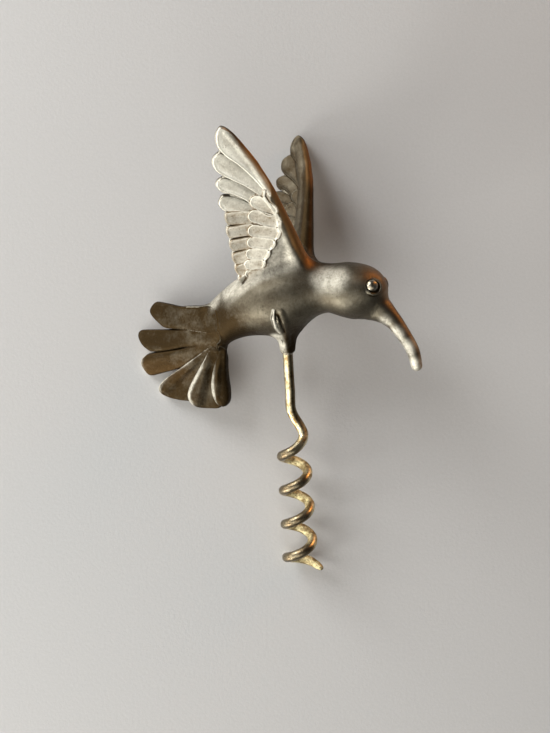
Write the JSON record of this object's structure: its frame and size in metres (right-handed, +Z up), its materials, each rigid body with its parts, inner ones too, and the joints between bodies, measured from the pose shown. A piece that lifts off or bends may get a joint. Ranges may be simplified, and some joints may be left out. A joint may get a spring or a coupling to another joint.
{
  "type": "corkscrew",
  "caption": "Direct-pull corkscrew: a cast metal hummingbird with raised wings is the handle, and a wire worm runs down from its belly.",
  "frame": {"origin": "centre of the bounding box's bottom face, on the table that the corkscrew lies on", "axes": "+Z up from the table, +Y from the worm's point towards the wing tips, +X towards the beak"},
  "size_m": [0.0798, 0.127, 0.0547],
  "materials": {
    "pewter": "aged cast pewter, brushed and tarnished brown, worn bright on raised edges",
    "worm_wire": "brass-plated steel wire, tarnished brown and worn silvery where it rubs",
    "solder": "dull solder, lumpy and pitted",
    "eye_bead": "polished metal bead, darkened round its rim"
  },
  "bodies": {
    "root": {"bird_body": "pewter", "right_wing": "pewter", "left_wing": "pewter", "tail_fan": "pewter", "worm": "worm_wire", "worm_solder": "solder", "right_eye": "eye_bead", "left_eye": "eye_bead"}
  },
  "joints": []
}
